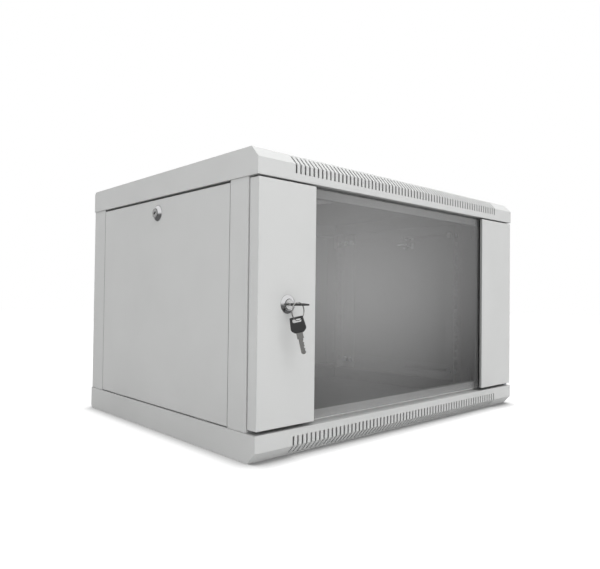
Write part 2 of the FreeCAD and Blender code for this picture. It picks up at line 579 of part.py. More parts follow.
PANEL_FLOOR = f"{BAY_FLOOR} + panel_bottom_gap"
PANEL_TOP = f"{BAY_ROOF} - panel_top_gap"
for side, hand in (("left", LEFT), ("right", RIGHT)):
    panel = new_body(f"{side}_side_panel")
    outline = rectangle(f"{PANEL_FRONT} + panel_end_gap", f"{PANEL_BACK} - panel_end_gap", PANEL_FLOOR, PANEL_TOP)
    block = pad(panel, "YZ", [outline], *span(hand, f"{FRAME_SIDE} - ({PANEL_RETURN})", FRAME_SIDE))
    hollowed(panel, block, FreeCAD.Vector(-hand, 0, 0), "panel_sheet")
    tab_y = (f"{PANEL_FRONT} + tab_inset", f"{PANEL_BACK} - tab_inset")
    pad(panel, "YZ", [rectangle(f"{y} - tab_width/2", f"{y} + tab_width/2", f"{PANEL_FLOOR} - tab_length",
                                f"{PANEL_FLOOR} + panel_sheet/2") for y in tab_y],
        *span(hand, f"{FRAME_SIDE} - tab_setback", f"{FRAME_SIDE} - tab_setback + panel_sheet"))
    cut(panel, "YZ", [centred(PANEL_LOCK_Y, PANEL_LOCK_Z, *barrel_hole)],
        *span(hand, f"{FRAME_SIDE} - 2*panel_sheet", f"{FRAME_SIDE} + 1"))

    def out(formula):
        """A distance along the lock's own axis, measured outward from the panel's face."""
        return mirrored(hand, f"{FRAME_SIDE} + {formula}")

    housing = new_body(f"{side}_lock_housing")
    turned(housing, "XY", "X", [
        (out("panel_bezel_height"), plug_bore),
        (out("panel_bezel_height"), "bezel_size/2 - 1.5*bezel_slope"),
        (out("0"), "bezel_size/2"),
        (out("0"), plug_bore),
    ])
    pad(housing, "YZ", [centred("0", "0", "barrel_size", "barrel_size"), ("0", "0", f"2*({plug_bore})")],
        *span(hand, f"{FRAME_SIDE} - {PANEL_BARREL}", FRAME_SIDE))
    clip = new_body(f"{side}_lock_clip")
    pad(clip, "YZ", [clip_outline()], *span(hand, f"{FRAME_SIDE} - panel_sheet - clip_sheet", f"{FRAME_SIDE} - panel_sheet"))
    plug = new_body(f"{side}_lock_plug")
    turned(plug, "XY", "X", [
        (out("panel_bezel_height + panel_plug_reach"), "0"),
        (out("panel_bezel_height + panel_plug_reach"), "plug_size/2"),
        (out(f"-{PANEL_BARREL}"), "plug_size/2"),
        (out(f"-{PANEL_BARREL}"), "0"),
    ])
    pad(plug, "YZ", [centred("0", "0", "plug_tail", "plug_tail")],
        *span(hand, f"{FRAME_SIDE} - {PANEL_BARREL} - cam_thickness", f"{FRAME_SIDE} - {PANEL_BARREL}"))
    cut(plug, "YZ", [turned_keyway()],
        *span(hand, f"{FRAME_SIDE} - {PANEL_BARREL} + keyway_end", f"{FRAME_SIDE} + panel_bezel_height + panel_plug_reach + 1"))
    cam = new_body(f"{side}_lock_cam")
    cam_near = f"{FRAME_SIDE} - {PANEL_BARREL} - cam_thickness"
    pad(cam, "YZ", [
        [("-cam_width/2", "-cam_width/2"), ("panel_cam_length - 2", "-cam_width/2"),
         ("panel_cam_length", "-cam_width/2 + 2"), ("panel_cam_length", "cam_width/2 - 2"),
         ("panel_cam_length - 2", "cam_width/2"), ("-cam_width/2", "cam_width/2")],
        centred("0", "0", "plug_tail", "plug_tail"),
    ], *span(hand, cam_near, f"{FRAME_SIDE} - {PANEL_BARREL}"))
    for piece in (housing, clip, plug, cam):
        stand(piece, "0", PANEL_LOCK_Y, PANEL_LOCK_Z)

# ---- rack rails -----------------------------------------------------------------------------------------

RACK_UNITS = "floor((cabinet_height - 2*cover_height - 2*rail_end_gap)/rack_unit)"
RACK_FLOOR = f"cabinet_height/2 - {RACK_UNITS}*rack_unit/2"
for row, face, inward in (("front", f"{FRONT} + front_rail_setback", 1), ("rear", f"{BACK} - rear_rail_setback", -1)):
    for side, hand in (("left", LEFT), ("right", RIGHT)):
        rail = new_body(f"{row}_{side}_rail")
        runs = [("x", hand, "rail_flange"), ("y", inward, "rail_web")]
        section = folded((mirrored(hand, "rack_opening/2"), face), runs, "rail_sheet", hand * inward)
        pad(rail, "XY", [section], f"{BAY_FLOOR} + rail_end_gap", f"{BAY_ROOF} - rail_end_gap")
        skin = (face, f"{face} + rail_sheet") if inward > 0 else (f"{face} - rail_sheet", face)
        holes = cut(rail, "XZ", [
            centred(mirrored(hand, "rack_hole_spacing/2"), f"{RACK_FLOOR} + {rise}", "rack_hole", "rack_hole")
            for rise in ("rack_unit/7", "rack_unit/2", "rack_unit*6/7")
        ], f"{skin[0]} - 1", f"{skin[1]} + 1")
        repeated(rail, holes, "Z", RACK_UNITS, "rack_unit")
        bolt_y = [f"{face} + ({inward})*(rail_web/2 + ({step})*rail_bolt_pitch/2)" for step in (-1, 1)]
        bolt_z = (f"{BAY_FLOOR} + brace_slot_drop", f"{BAY_ROOF} - brace_slot_drop")
        necks = [centred(y, z, "rail_bolt", "rail_bolt") for y in bolt_y for z in bolt_z]
        cut(rail, "YZ", necks, *span(hand, "rack_opening/2 + rail_flange - rail_sheet - 1", "rack_opening/2 + rail_flange + 1"))
        bolts = new_body(f"{row}_{side}_rail_bolts")
        heads = [hexagon(y, z, "rail_bolt_head") for y in bolt_y for z in bolt_z]
        web_in = "rack_opening/2 + rail_flange - rail_sheet"
        leg_out = f"{BRACE_INNER} + frame_sheet + slide_gap"
        pad(bolts, "YZ", heads, *span(hand, f"{web_in} - rail_bolt_head_height", web_in))
        pad(bolts, "YZ", necks, *span(hand, f"{web_in} - rail_bolt_head_height/2",
                                      f"{leg_out} + rail_bolt_head_height + rail_bolt_tail"))
        pad(bolts, "YZ", heads, *span(hand, leg_out, f"{leg_out} + rail_bolt_head_height"))

# ---- keys and their ring --------------------------------------------------------------------------------

SLOT_CENTRE = "key_head_length - key_slot_margin - key_slot_width/2"
KEY_BAR = ("key_head_end/2 + (key_head_width - key_head_end)/2*(key_slot_margin + key_slot_width/2)"
           "/(key_head_length - key_corner) - key_slot_length/2")
RING_X = f"{LOCK_X} - key_slot_length/2 - ({KEY_BAR})/2"
RING_Y = f"{FRONT} - key_reach - ({SLOT_CENTRE})"
RING_Z = ("lock_height + key_head_thickness/2 + ring_gap"
          f" - sqrt(((ring_size - ring_wire)/2)^2 - (({KEY_BAR})/2)^2)")
# How far the middle of the spare key's shoulder lies from the ring's wire, level and along its own width.
SPARE_AWAY = f"spare_side*cos(spare_tilt) - ({SLOT_CENTRE})*sin(spare_tilt)"


def key(prefix):
    """A flat steel blade in a moulded head, drawn lying flat with the blade along Y from the head's shoulder."""
    blade = new_body(f"{prefix}_blade")
    notches = []
    for place, depth in enumerate((0.9, 0.5, 1.1, 0.6), start=1):
        at, floor = f"key_shank_length + {place}*bit_pitch", f"key_bit/2 - {depth}"
        notches += [("key_bit/2", f"{at} - bit_half"), (floor, f"{at} - bit_floor"),
                    (floor, f"{at} + bit_floor"), ("key_bit/2", f"{at} + bit_half")]
    pad(blade, "XY", [[
        ("-key_shank/2", "-key_tang"), ("key_shank/2", "-key_tang"), ("key_shank/2", "key_shank_length"),
        ("key_bit/2", "key_shank_length"), *notches, ("key_bit/2", "key_blade_length - key_tip"),
        ("key_bit/2 - key_tip", "key_blade_length"), ("-key_bit/2 + key_tip", "key_blade_length"),
        ("-key_bit/2", "key_blade_length - key_tip"), ("-key_bit/2", "key_shank_length"),
        ("-key_shank/2", "key_shank_length"),
    ]], "-key_blade/2", "key_blade/2")
    head = new_body(f"{prefix}_head")
    pad(head, "XY", [
        [("-key_head_end/2", "-key_head_length"), ("key_head_end/2", "-key_head_length"),
         ("key_head_width/2", "-key_corner"), ("key_head_width/2 - key_corner", "0"),
         ("-key_head_width/2 + key_corner", "0"), ("-key_head_width/2", "-key_corner")],
        centred("0", f"-({SLOT_CENTRE})", "key_slot_length", "key_slot_width"),
    ], "-key_head_thickness/2", "key_head_thickness/2")
    cut(head, "XY", [rectangle("-key_shank/2", "key_shank/2", "-key_tang", "1")], "-key_blade/2", "key_blade/2")
    return blade, head


for piece in key("key"):
    stand(piece, LOCK_X, f"{FRONT} - key_reach", "lock_height")

key_ring = new_body("key_ring")
turned(key_ring, "XY", "Y", centred("ring_size/2", "0", "ring_wire", "ring_wire"))
key_ring.Placement.Rotation = FreeCAD.Rotation(FreeCAD.Vector(0, 0, 1), dims.get("ring_turn"))
stand(key_ring, RING_X, RING_Y, RING_Z)

blade_down = FreeCAD.Rotation(FreeCAD.Vector(0, -1, 0), FreeCAD.Vector(0, 0, -1), FreeCAD.Vector(1, 0, 0), "ZYX")
leaning = FreeCAD.Rotation(FreeCAD.Vector(1, 0, 0), -dims.get("spare_tilt"))
turned_out = FreeCAD.Rotation(FreeCAD.Vector(0, 0, 1), dims.get("spare_turn"))
for piece in key("spare_key"):
    piece.Placement.Rotation = turned_out * leaning * blade_down
    stand(piece,
          f"{RING_X} - ({SPARE_AWAY})*sin(spare_turn)",
          f"{RING_Y} + ({SPARE_AWAY})*cos(spare_turn)",
          f"{RING_Z} - ring_size/2 - spare_side*sin(spare_tilt) - ({SLOT_CENTRE})*cos(spare_tilt)")

# ---- the spring of the upper hinge pin -------------------------------------------------------------------

def size(alias):
    return float(dims.get(alias))


doc.recompute()
spring_wire = size("spring_wire")
corners = 10
spring_radius = ((size("pin_size") + spring_wire)/2 + size("running_gap"))/math.cos(math.pi/corners)
spring_height = size("pin_guide_rise") - spring_wire - 2*size("touch_gap")
path = []
for step in range(int(size("spring_turns"))*corners + 1):
    turn = math.tau*step/corners
    rise = spring_height*step/(size("spring_turns")*corners)
    path.append(FreeCAD.Vector(spring_radius*math.cos(turn), spring_radius*math.sin(turn), rise))
half = spring_wire/2
square = Part.makePolygon([path[0] + FreeCAD.Vector(x*half, 0, z*half)
                           for x, z in ((-1, -1), (1, -1), (1, 1), (-1, 1), (-1, -1))])
hinge_spring = doc.addObject("Part::Feature", "hinge_spring")
hinge_spring.Label = "hinge_spring"
hinge_spring.Shape = Part.Wire(Part.makePolygon(path)).makePipeShell([square], True, False, 1)
stand(hinge_spring, HINGE_X, HINGE_Y, f"{guide_top} + spring_wire/2 + touch_gap")

doc.recompute()

# ---- files ----------------------------------------------------------------------------------------------

for thing in doc.Objects:
    if {"Invalid", "Error"} & set(thing.State):
        raise RuntimeError(f"{thing.Name} ({thing.Label}) failed: {thing.State}")

os.makedirs("parts", exist_ok=True)
PIECES = ("PartDesign::Body", "Part::Box", "Part::Feature")
for thing in doc.Objects:
    if thing.TypeId in PIECES:
        if thing.Shape.isNull() or not thing.Shape.isValid():
            raise RuntimeError(f"{thing.Label} has no valid shape")
        thing.Shape.exportStep(f"parts/{thing.Label}.step")
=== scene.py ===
"""A wall mount network cabinet: grey powder-coated steel, a smoked glass door and its keys."""

import math

import bmesh
import bpy
from mathutils import Matrix, Vector


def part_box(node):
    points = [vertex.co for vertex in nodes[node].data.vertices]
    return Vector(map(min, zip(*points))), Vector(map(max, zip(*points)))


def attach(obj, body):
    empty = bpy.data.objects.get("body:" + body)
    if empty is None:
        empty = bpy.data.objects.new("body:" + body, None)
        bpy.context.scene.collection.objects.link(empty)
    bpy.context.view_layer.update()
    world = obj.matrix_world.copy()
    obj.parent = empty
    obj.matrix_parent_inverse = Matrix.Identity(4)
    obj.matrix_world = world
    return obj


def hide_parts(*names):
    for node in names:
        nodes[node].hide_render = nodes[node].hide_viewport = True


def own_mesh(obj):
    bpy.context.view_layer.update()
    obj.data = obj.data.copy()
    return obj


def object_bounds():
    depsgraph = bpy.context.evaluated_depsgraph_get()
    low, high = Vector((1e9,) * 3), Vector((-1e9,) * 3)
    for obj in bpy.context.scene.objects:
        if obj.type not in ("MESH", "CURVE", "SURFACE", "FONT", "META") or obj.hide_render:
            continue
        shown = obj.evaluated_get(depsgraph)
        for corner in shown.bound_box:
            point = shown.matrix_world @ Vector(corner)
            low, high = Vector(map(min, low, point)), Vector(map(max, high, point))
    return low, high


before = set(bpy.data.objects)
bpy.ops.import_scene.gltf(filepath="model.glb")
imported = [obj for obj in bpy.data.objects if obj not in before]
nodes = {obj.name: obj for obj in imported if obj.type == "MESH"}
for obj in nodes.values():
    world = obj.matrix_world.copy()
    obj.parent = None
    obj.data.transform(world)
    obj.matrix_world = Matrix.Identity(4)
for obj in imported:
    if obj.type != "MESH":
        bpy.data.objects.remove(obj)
cad_low, cad_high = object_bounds()


# Viewpoint: about a metre from the cabinet, off its left front corner and a little above
# mid height, so the door, the left side and both vent rows show and the roof does not.
VIEW_PLACE = (-0.7031, -0.7333, 0.1942)
VIEW_TURN = math.radians(42.8)
VIEW_RISE = math.radians(1.15)
VIEW_ROLL = math.radians(0.66)
VIEW_LENS = 34.06
lens = bpy.data.cameras.new("viewpoint")
lens.sensor_width = 36.0
lens.lens = VIEW_LENS
lens.clip_start = 0.02
viewpoint = bpy.data.objects.new("viewpoint", lens)
bpy.context.scene.collection.objects.link(viewpoint)
viewpoint.matrix_world = (
    Matrix.Translation(VIEW_PLACE)
    @ Matrix.Rotation(-VIEW_TURN, 4, "Z")
    @ Matrix.Rotation(math.pi / 2 + VIEW_RISE, 4, "X")
    @ Matrix.Rotation(VIEW_ROLL, 4, "Z")
)
bpy.context.scene.camera = viewpoint
bpy.context.scene.view_settings.view_transform = "Standard"


# Studio: a pale sweep and an even white surround. What mirrors see is white above and
# falls off below the horizon, with a soft glow to the right of the door.
SURROUND_LIGHT = 0.50
GLOW_STRENGTH = 2.2
GLOW_WAY = (0.731, -0.682, 0.0)
GLOW_REACH = math.radians(17)
BELOW_LIGHT = 0.15
HORIZON_BLUR = 0.25
FLOOR_HALF = 6.0
LIT_PAPER = 0.78
SEEN_PAPER = 0.16
CONTACT_REACH = 0.028
PAINTED_SHADOW_DARK = 0.12
OPEN_WHITE = 0.93

world = bpy.data.worlds.new("white_surround")
bpy.context.scene.world = world
world.use_nodes = True
sky = world.node_tree
sky.nodes.clear()
sky_out = sky.nodes.new("ShaderNodeOutputWorld")
seen_mix = sky.nodes.new("ShaderNodeMixShader")
mirror_mix = sky.nodes.new("ShaderNodeMixShader")
light_side = sky.nodes.new("ShaderNodeBackground")
light_side.inputs["Strength"].default_value = SURROUND_LIGHT
seen_side = sky.nodes.new("ShaderNodeBackground")
mirror_side = sky.nodes.new("ShaderNodeBackground")
for side in (light_side, seen_side, mirror_side):
    side.inputs["Color"].default_value = (1.0, 1.0, 1.0, 1.0)
rays = sky.nodes.new("ShaderNodeLightPath")
seen = sky.nodes.new("ShaderNodeMath")
seen.operation = "MAXIMUM"
sky.links.new(rays.outputs["Is Camera Ray"], seen.inputs[0])
sky.links.new(rays.outputs["Is Transmission Ray"], seen.inputs[1])
way = sky.nodes.new("ShaderNodeTexCoord")
towards_glow = sky.nodes.new("ShaderNodeVectorMath")
towards_glow.operation = "DOT_PRODUCT"
towards_glow.inputs[1].default_value = Vector(GLOW_WAY).normalized()
sky.links.new(way.outputs["Generated"], towards_glow.inputs[0])
off_glow = sky.nodes.new("ShaderNodeMath")
off_glow.operation = "ARCCOSINE"
sky.links.new(towards_glow.outputs["Value"], off_glow.inputs[0])
glow = sky.nodes.new("ShaderNodeMapRange")
glow.interpolation_type = "SMOOTHSTEP"
glow.inputs["From Min"].default_value = GLOW_REACH
glow.inputs["From Max"].default_value = 0.0
glow.inputs["To Max"].default_value = GLOW_STRENGTH
sky.links.new(off_glow.outputs[0], glow.inputs["Value"])
height = sky.nodes.new("ShaderNodeSeparateXYZ")
sky.links.new(way.outputs["Generated"], height.inputs[0])
horizon = sky.nodes.new("ShaderNodeMapRange")
horizon.interpolation_type = "SMOOTHSTEP"
horizon.inputs["From Min"].default_value = -HORIZON_BLUR
horizon.inputs["From Max"].default_value = HORIZON_BLUR
horizon.inputs["To Min"].default_value = BELOW_LIGHT
horizon.inputs["To Max"].default_value = 1.0
sky.links.new(height.outputs["Z"], horizon.inputs["Value"])
mirrored = sky.nodes.new("ShaderNodeMath")
sky.links.new(glow.outputs["Result"], mirrored.inputs[0])
sky.links.new(horizon.outputs["Result"], mirrored.inputs[1])
sky.links.new(mirrored.outputs[0], mirror_side.inputs["Strength"])
straight = sky.nodes.new("ShaderNodeMath")
straight.operation = "LESS_THAN"
straight.inputs[1].default_value = 0.5
sky.links.new(rays.outputs["Diffuse Depth"], straight.inputs[0])
seen_straight = sky.nodes.new("ShaderNodeMath")
seen_straight.operation = "MULTIPLY"
sky.links.new(seen.outputs[0], seen_straight.inputs[0])
sky.links.new(straight.outputs[0], seen_straight.inputs[1])
mirror_straight = sky.nodes.new("ShaderNodeMath")
mirror_straight.operation = "MULTIPLY"
sky.links.new(rays.outputs["Is Glossy Ray"], mirror_straight.inputs[0])
sky.links.new(straight.outputs[0], mirror_straight.inputs[1])
sky.links.new(seen_straight.outputs[0], seen_mix.inputs["Fac"])
sky.links.new(light_side.outputs[0], seen_mix.inputs[1])
sky.links.new(seen_side.outputs[0], seen_mix.inputs[2])
sky.links.new(mirror_straight.outputs[0], mirror_mix.inputs["Fac"])
sky.links.new(seen_mix.outputs[0], mirror_mix.inputs[1])
sky.links.new(mirror_side.outputs[0], mirror_mix.inputs[2])
sky.links.new(mirror_mix.outputs[0], sky_out.inputs["Surface"])

sweep_mesh = bpy.data.meshes.new("sweep")
sweep_corners = [
    (-FLOOR_HALF, -FLOOR_HALF, cad_low[2]),
    (FLOOR_HALF, -FLOOR_HALF, cad_low[2]),
    (FLOOR_HALF, FLOOR_HALF, cad_low[2]),
    (-FLOOR_HALF, FLOOR_HALF, cad_low[2]),
]
sweep_mesh.from_pydata(sweep_corners, [], [(0, 1, 2, 3)])
sweep = bpy.data.objects.new("sweep", sweep_mesh)
bpy.context.scene.collection.objects.link(sweep)
paper = bpy.data.materials.new("white_paper")
paper.use_nodes = True
roll = paper.node_tree
roll.nodes.clear()
roll_out = roll.nodes.new("ShaderNodeOutputMaterial")
roll_rays = roll.nodes.new("ShaderNodeLightPath")
lit_paper = roll.nodes.new("ShaderNodeBsdfDiffuse")
lit_paper.inputs["Color"].default_value = (LIT_PAPER, LIT_PAPER, LIT_PAPER, 1.0)
seen_paper = roll.nodes.new("ShaderNodeBsdfDiffuse")
seen_paper.inputs["Color"].default_value = (SEEN_PAPER, SEEN_PAPER, SEEN_PAPER, 1.0)
# Painted contact shadow: to the eye the sweep glows white, and ambient occlusion dims that glow close to
# the cabinet.
contact = roll.nodes.new("ShaderNodeAmbientOcclusion")
contact.inputs["Distance"].default_value = CONTACT_REACH
contact.samples = 12
painted_shadow_fall = roll.nodes.new("ShaderNodeMapRange")
painted_shadow_fall.inputs["From Min"].default_value = 0.35
painted_shadow_fall.inputs["From Max"].default_value = 0.95
painted_shadow_fall.inputs["To Min"].default_value = PAINTED_SHADOW_DARK
painted_shadow_fall.inputs["To Max"].default_value = OPEN_WHITE
glow_with_painted_shadow = roll.nodes.new("ShaderNodeEmission")
seen_sum = roll.nodes.new("ShaderNodeAddShader")
paper_mix = roll.nodes.new("ShaderNodeMixShader")
through_mix = roll.nodes.new("ShaderNodeMixShader")
open_air = roll.nodes.new("ShaderNodeBsdfTransparent")
roll.links.new(contact.outputs["AO"], painted_shadow_fall.inputs["Value"])
roll.links.new(painted_shadow_fall.outputs["Result"], glow_with_painted_shadow.inputs["Strength"])
roll.links.new(seen_paper.outputs[0], seen_sum.inputs[0])
roll.links.new(glow_with_painted_shadow.outputs[0], seen_sum.inputs[1])
roll.links.new(roll_rays.outputs["Is Camera Ray"], paper_mix.inputs["Fac"])
roll.links.new(lit_paper.outputs[0], paper_mix.inputs[1])
roll.links.new(seen_sum.outputs[0], paper_mix.inputs[2])
roll.links.new(roll_rays.outputs["Is Glossy Ray"], through_mix.inputs["Fac"])
roll.links.new(paper_mix.outputs[0], through_mix.inputs[1])
roll.links.new(open_air.outputs[0], through_mix.inputs[2])
roll.links.new(through_mix.outputs[0], roll_out.inputs["Surface"])
sweep_mesh.materials.append(paper)


def soft_lamp(name, place, aim, width, watts):
    """A square diffuser lamp of that width, turned to its aim."""
    data = bpy.data.lights.new(name, "AREA")
    data.size = width
    data.energy = watts
    lamp = bpy.data.objects.new(name, data)
    bpy.context.scene.collection.objects.link(lamp)
    lamp.location = place
    lamp.rotation_euler = (Vector(aim) - Vector(place)).to_track_quat("-Z", "Y").to_euler()
    lamp.visible_camera = False
    lamp.visible_glossy = False
    return lamp


soft_lamp("front_lamp", (-0.8, -2.1, 2.2), (0.0, -0.1, 0.2), 1.8, 36.0)
soft_lamp("left_lamp", (-1.9, -1.5, 0.8), (-0.2, -0.2, 0.2), 1.0, 7.0)
soft_lamp("top_lamp", (0.9, 0.1, 2.6), (0.1, 0.0, 0.3), 1.8, 44.0)
soft_lamp("back_lamp", (0.6, 2.8, 1.6), (0.0, 0.0, 0.2), 2.0, 22.0)


# Folded covers: the top and bottom trays are 1.5 mm sheet steel, punched with the vent
# slots, folded over at the front and powder coated pale grey with a fine satin grain.
COVER_GREY = (0.60, 0.605, 0.60)
COAT_ROUGHNESS = 0.56
ROUGHNESS_DRIFT = 0.06
WAVE_SCALE = 9.0
GRAIN_SCALE = 1500.0
GRAIN_DEPTH = 0.00006
CABINET_MIDDLE = 0.184
SHADE_FULL_REACH = 0.165
SHADE_NONE_REACH = 0.175
WELD_REACH = 0.00002
FLAT_ANGLE = math.radians(0.5)
EDGE_ANGLE = math.radians(25)


def powder_coat(name, grey, inside_shade=0.5, fold=0.0012):
    """Satin powder coat: faint grain, slow waves and eased folds, with painted shade (a darker share of the
    grey) on faces that turn in towards the cabinet's middle.
    """
    coat = bpy.data.materials.new(name)
    coat.use_nodes = True
    net = coat.node_tree
    skin = net.nodes["Principled BSDF"]
    skin.inputs["Specular IOR Level"].default_value = 0.35
    place = net.nodes.new("ShaderNodeTexCoord")
    cloud = net.nodes.new("ShaderNodeTexNoise")
    cloud.inputs["Scale"].default_value = WAVE_SCALE
    cloud.inputs["Detail"].default_value = 3.0
    net.links.new(place.outputs["Object"], cloud.inputs["Vector"])
    tone = net.nodes.new("ShaderNodeValToRGB")
    tone.color_ramp.elements[0].position = 0.3
    tone.color_ramp.elements[0].color = [c * 0.975 for c in grey] + [1.0]
    tone.color_ramp.elements[1].position = 0.7
    tone.color_ramp.elements[1].color = [min(1.0, c * 1.02) for c in grey] + [1.0]
    net.links.new(cloud.outputs["Fac"], tone.inputs["Fac"])
    # Painted shade: faces that turn in towards the cabinet's middle take a darker share of the grey,
    # standing in for the dimmer light inside.
    from_middle = net.nodes.new("ShaderNodeVectorMath")
    from_middle.operation = "SUBTRACT"
    from_middle.inputs[1].default_value = (0.0, 0.0, CABINET_MIDDLE)
    net.links.new(place.outputs["Object"], from_middle.inputs[0])
    facing_out = net.nodes.new("ShaderNodeVectorMath")
    facing_out.operation = "DOT_PRODUCT"
    net.links.new(from_middle.outputs["Vector"], facing_out.inputs[0])
    net.links.new(place.outputs["Normal"], facing_out.inputs[1])
    unshaded = net.nodes.new("ShaderNodeMapRange")
    unshaded.inputs["From Min"].default_value = SHADE_FULL_REACH
    unshaded.inputs["From Max"].default_value = SHADE_NONE_REACH
    net.links.new(facing_out.outputs["Value"], unshaded.inputs["Value"])
    painted_shade_mix = net.nodes.new("ShaderNodeMix")
    painted_shade_mix.data_type = "RGBA"
    painted_shade_mix.inputs[6].default_value = [c * inside_shade for c in grey] + [1.0]
    net.links.new(unshaded.outputs["Result"], painted_shade_mix.inputs[0])
    net.links.new(tone.outputs["Color"], painted_shade_mix.inputs[7])
    net.links.new(painted_shade_mix.outputs[2], skin.inputs["Base Color"])
    grain = net.nodes.new("ShaderNodeTexNoise")
    grain.inputs["Scale"].default_value = GRAIN_SCALE
    grain.inputs["Detail"].default_value = 2.0
    net.links.new(place.outputs["Object"], grain.inputs["Vector"])
    sheen = net.nodes.new("ShaderNodeMapRange")
    sheen.inputs["To Min"].default_value = COAT_ROUGHNESS - ROUGHNESS_DRIFT
    sheen.inputs["To Max"].default_value = COAT_ROUGHNESS + ROUGHNESS_DRIFT
    net.links.new(grain.outputs["Fac"], sheen.inputs["Value"])
    net.links.new(sheen.outputs["Result"], skin.inputs["Roughness"])
    eased = net.nodes.new("ShaderNodeBevel")
    eased.samples = 4
    eased.inputs["Radius"].default_value = fold
    bump = net.nodes.new("ShaderNodeBump")
    bump.inputs["Strength"].default_value = 0.18
    bump.inputs["Distance"].default_value = GRAIN_DEPTH
    net.links.new(grain.outputs["Fac"], bump.inputs["Height"])
    net.links.new(eased.outputs["Normal"], bump.inputs["Normal"])
    net.links.new(bump.outputs["Normal"], skin.inputs["Normal"])
    return coat


def finish_node(name, finish, rounding=0.0, segments=2):
    """Gives a part its finish, and rounds its edges by that much."""
    part = nodes[name]
    part.data.materials.clear()
    part.data.materials.append(finish)
    if rounding:
        weld = part.modifiers.new("weld", "WELD")
        weld.merge_threshold = WELD_REACH
        flat = part.modifiers.new("flat", "DECIMATE")
        flat.decimate_type = "DISSOLVE"
        flat.angle_limit = FLAT_ANGLE
        ease = part.modifiers.new("ease", "BEVEL")
        ease.width = rounding
        ease.segments = segments
        ease.limit_method = "ANGLE"
        ease.angle_limit = EDGE_ANGLE


# The covers' inward faces, slot walls and lip undersides get a lighter painted shade, 0.72 of the grey; the
# frame, panels, stiles and rails get 0.5.
cover_coat = powder_coat("cover_coat", COVER_GREY, 0.72, 0.0018)
for cover in ("top_cover", "bottom_cover"):
    finish_node(cover, cover_coat)


# Welded frame: four corner posts, two front beams and four side braces, folded from the
# same sheet and coated with the covers, and the back panel that holds the wall bolts.
# Painted light: the front beams take a lighter grey than the rest of the frame, standing in for the light
# that reaches them through the glass.
BEAM_LIT_GREY = (0.78, 0.785, 0.78)
frame_coat = powder_coat("frame_coat", COVER_GREY)
beam_lit_coat = powder_coat("beam_lit_coat", BEAM_LIT_GREY)
FRAME_PARTS = (
    "front_left_post", "front_right_post", "rear_left_post", "rear_right_post",
    "upper_left_brace", "lower_left_brace", "upper_right_brace", "lower_right_brace",
    "back_panel", "top_cable_plate", "bottom_cable_plate",
)
for part in FRAME_PARTS:
    finish_node(part, frame_coat)
for part in ("front_top_beam", "front_bottom_beam"):
    finish_node(part, beam_lit_coat)


# Side panels: shallow sheet steel trays with folded edges, coated like the covers. Each
# stands in the cabinet's side on two tabs and is held at the top by a lock.
panel_coat = powder_coat("panel_coat", COVER_GREY)
for side in ("left", "right"):
    finish_node(f"{side}_side_panel", panel_coat)


# Door stiles: box-folded steel uprights, powder coated, one at each side of the door. Each
# has a channel along it that grips an edge of the glass.
stile_coat = powder_coat("stile_coat", COVER_GREY)
for side in ("left", "right"):
    finish_node(f"door_{side}_stile", stile_coat)


# Rack rails: plain coated steel angle, punched with square holes for cage nuts. They are
# bolted to the braces and slide along them to suit the equipment.
rail_coat = powder_coat("rail_coat", COVER_GREY)
for end in ("front", "rear"):
    for side in ("left", "right"):
        finish_node(f"{end}_{side}_rail", rail_coat)


# Smoked glass: one toughened pane with ground edges, dyed through, so lamps pass it dimmed.
# It is taped into the channels of the two stiles.
GLASS_TINT = 0.54
GLASS_POLISH = 0.02
GLASS_INDEX = 1.60
smoked = bpy.data.materials.new("smoked_glass")
smoked.use_nodes = True
smoke = smoked.node_tree
pane = smoke.nodes["Principled BSDF"]
pane.inputs["Base Color"].default_value = (GLASS_TINT, GLASS_TINT, GLASS_TINT, 1.0)
pane.inputs["Roughness"].default_value = GLASS_POLISH
pane.inputs["IOR"].default_value = GLASS_INDEX
pane.inputs["Transmission Weight"].default_value = 1.0
dimmed = smoke.nodes.new("ShaderNodeBsdfTransparent")
dimmed.inputs["Color"].default_value = (GLASS_TINT ** 0.5,) * 3 + (1.0,)
lamp_rays = smoke.nodes.new("ShaderNodeLightPath")
lamp_mix = smoke.nodes.new("ShaderNodeMixShader")
smoke.links.new(lamp_rays.outputs["Is Shadow Ray"], lamp_mix.inputs["Fac"])
smoke.links.new(pane.outputs[0], lamp_mix.inputs[1])
smoke.links.new(dimmed.outputs[0], lamp_mix.inputs[2])
smoke.links.new(lamp_mix.outputs[0], smoke.nodes["Material Output"].inputs["Surface"])
finish_node("door_glass", smoked)


# Lock plugs: turned steel, plated and lightly brushed, with the keyway broached through the
# face. One is in the door and one in each side panel.
PLUG_ROUNDING = 0.0005


def plated(name, colour, roughness, grain_scale, grain_depth):
    """Bright plated metal with a fine polishing grain."""
    plate = bpy.data.materials.new(name)
    plate.use_nodes = True
    net = plate.node_tree
    skin = net.nodes["Principled BSDF"]
    skin.inputs["Base Color"].default_value = (*colour, 1.0)
    skin.inputs["Metallic"].default_value = 1.0
    place = net.nodes.new("ShaderNodeTexCoord")
    grain = net.nodes.new("ShaderNodeTexNoise")
    grain.inputs["Scale"].default_value = grain_scale
    grain.inputs["Detail"].default_value = 4.0
    net.links.new(place.outputs["Object"], grain.inputs["Vector"])
    sheen = net.nodes.new("ShaderNodeMapRange")
    sheen.inputs["To Min"].default_value = roughness * 0.7
    sheen.inputs["To Max"].default_value = roughness * 1.3
    net.links.new(grain.outputs["Fac"], sheen.inputs["Value"])
    net.links.new(sheen.outputs["Result"], skin.inputs["Roughness"])
    bump = net.nodes.new("ShaderNodeBump")
    bump.inputs["Strength"].default_value = 0.15
    bump.inputs["Distance"].default_value = grain_depth
    net.links.new(grain.outputs["Fac"], bump.inputs["Height"])
    net.links.new(bump.outputs["Normal"], skin.inputs["Normal"])
    return plate


